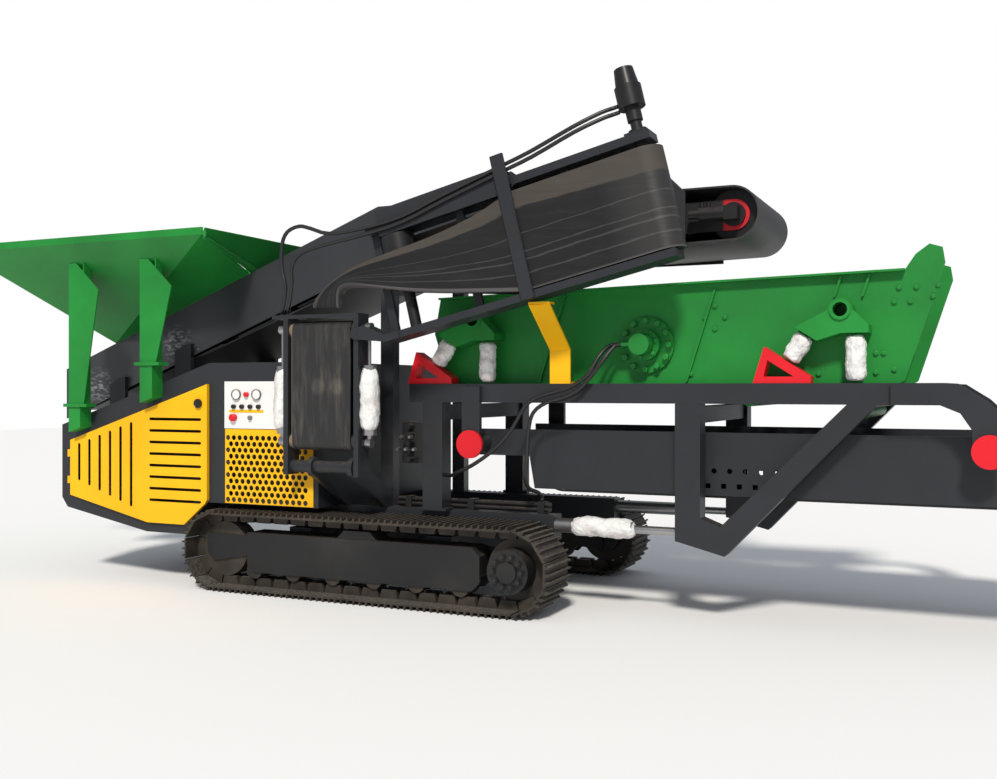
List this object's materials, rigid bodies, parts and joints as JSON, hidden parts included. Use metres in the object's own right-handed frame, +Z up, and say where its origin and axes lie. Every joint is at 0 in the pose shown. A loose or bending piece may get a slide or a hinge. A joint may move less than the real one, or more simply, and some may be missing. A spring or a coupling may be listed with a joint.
{
  "type": "tracked mobile vibrating screen",
  "caption": "Crawler-mounted mobile screening plant: feed hopper and conveyor, sprung vibrating screen box, tail conveyor, and a side conveyor folded for transport.",
  "frame": {"origin": "on the ground under the middle of the machine's length and width", "axes": "+X from the feed hopper towards the tail conveyor, +Y across to the side away from the folded side conveyor, +Z up"},
  "size_m": [9.066, 2.54, 3.6063],
  "materials": {
    "slate": "dark slate grey paint, dusty",
    "green": "bright green paint, dusty",
    "yellow": "yellow paint",
    "red": "red paint",
    "white": "white paint",
    "black": "black paint",
    "steel": "worn dusty steel",
    "belt": "matt black belting",
    "wrap": "white wrapping film over the springs"
  },
  "bodies": {
    "machine": {"near_track_shoes": "steel", "far_track_shoes": "steel", "track_frames": "black", "track_wheels": "steel", "final_drives": "black", "chassis_rails": "slate", "chassis_cross_beams": "slate", "engine_housing": "slate", "far_side_door": "yellow", "cooler_grilles": "yellow", "cooler_core": "black", "control_panel": "white", "hopper_near_wall": "green", "hopper_far_wall": "green", "hopper_rear_wall": "green", "hopper_front_plate": "green", "hopper_posts": "green", "feed_walls": "slate", "feed_cross_members": "slate", "feed_belt": "belt", "feed_head_frame": "red", "feed_drums": "steel", "feed_drive": "black", "feed_posts": "slate", "feed_lugs": "slate", "exciter_hoses": "black", "springs": "wrap", "spring_seats": "red", "subframe_beams": "slate", "subframe_posts": "slate", "subframe_vee_legs": "slate", "subframe_cross_beams": "slate", "tail_walls": "slate", "tail_belt": "belt", "tail_drums": "steel", "tail_arms": "slate", "pivot_caps": "red", "lift_rams": "steel", "tower_base": "slate", "transport_brace": "yellow", "valve_block": "black", "hydraulic_pipes": "black"},
    "engine_door": {"engine_door": "yellow"},
    "side_tower": {"tower_frame": "slate", "tower_belt": "belt", "tower_cylinders": "steel"},
    "side_head": {"head_frame": "slate", "head_belt": "belt", "head_slack_belt": "belt", "head_drum": "steel", "head_motor": "black", "head_hoses": "black"},
    "screen_box": {"screen_sides": "green", "screen_back_plate": "green", "screen_cross_tubes": "green", "upper_deck": "steel", "lower_deck": "steel", "exciter": "green", "exciter_motor": "green", "spring_brackets": "green"}
  },
  "joints": [
    {"name": "engine_door", "type": "hinge", "parent": "machine", "child": "engine_door", "pos_m": [-3.514, -1.047, 0.87], "axis": [0, 0, -1], "range_deg": [0, 100]},
    {"name": "side_conveyor_lift", "type": "hinge", "parent": "machine", "child": "side_tower", "pos_m": [-0.903, -1.16, 0.98], "axis": [1, 0, 0], "range_deg": [0, 65]},
    {"name": "side_conveyor_fold", "type": "hinge", "parent": "side_tower", "child": "side_head", "pos_m": [-0.603, -1.16, 1.93], "axis": [0, -1, 0], "range_deg": [0, 76], "deforming": ["head_slack_belt", "head_hoses"]},
    {"name": "screen_bounce", "type": "slide", "parent": "machine", "child": "screen_box", "axis": [0, 0, 1], "range_m": [-0.02, 0.02], "stiffness_N_per_m": 130000, "springref_m": 0.04, "deforming": ["springs", "exciter_hoses"]}
  ]
}
